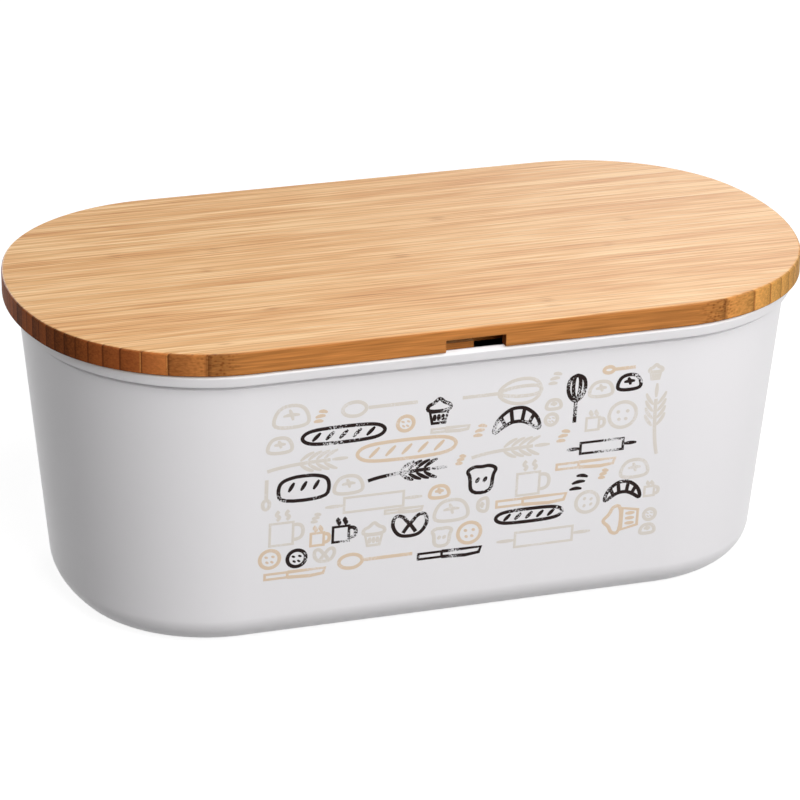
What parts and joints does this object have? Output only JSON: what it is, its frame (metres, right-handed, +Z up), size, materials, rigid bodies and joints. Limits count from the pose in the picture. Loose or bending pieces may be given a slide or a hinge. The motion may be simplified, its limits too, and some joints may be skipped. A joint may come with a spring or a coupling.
{
  "type": "bread box",
  "caption": "Oval bread box: white moulded melamine tub with a flared rim, and a lift-off lid of edge-glued bamboo strips with a locating step and an air notch in front.",
  "frame": {"origin": "middle of the base, on the surface that the tub stands on", "axes": "+X along the length, -Y the front with the air notch, +Z up"},
  "size_m": [0.34, 0.1828, 0.1375],
  "materials": {
    "melamine": "moulded, soft gloss",
    "bamboo": "sanded and oiled, satin"
  },
  "bodies": {
    "tub": {"tub": "melamine"},
    "lid": {"lid_strip_01": "bamboo", "lid_strip_02": "bamboo", "lid_strip_03": "bamboo", "lid_strip_04": "bamboo", "lid_strip_05": "bamboo", "lid_strip_06": "bamboo", "lid_strip_07": "bamboo", "lid_strip_08": "bamboo", "lid_strip_09": "bamboo", "lid_strip_10": "bamboo", "lid_strip_11": "bamboo", "lid_strip_12": "bamboo", "lid_strip_13": "bamboo", "lid_strip_14": "bamboo", "lid_strip_15": "bamboo", "lid_strip_16": "bamboo", "lid_strip_17": "bamboo", "lid_strip_18": "bamboo", "lid_strip_19": "bamboo", "lid_strip_20": "bamboo", "lid_strip_21": "bamboo", "lid_strip_22": "bamboo", "lid_strip_23": "bamboo", "lid_strip_24": "bamboo", "lid_strip_25": "bamboo", "lid_strip_26": "bamboo", "lid_strip_27": "bamboo", "lid_strip_28": "bamboo", "lid_strip_29": "bamboo", "lid_strip_30": "bamboo", "lid_strip_31": "bamboo", "lid_strip_32": "bamboo", "lid_strip_33": "bamboo", "lid_strip_34": "bamboo", "lid_strip_35": "bamboo"}
  },
  "joints": [
    {"name": "lid_lift", "type": "slide", "parent": "tub", "child": "lid", "axis": [0, 0, 1], "range_m": [0, 0.16]}
  ]
}
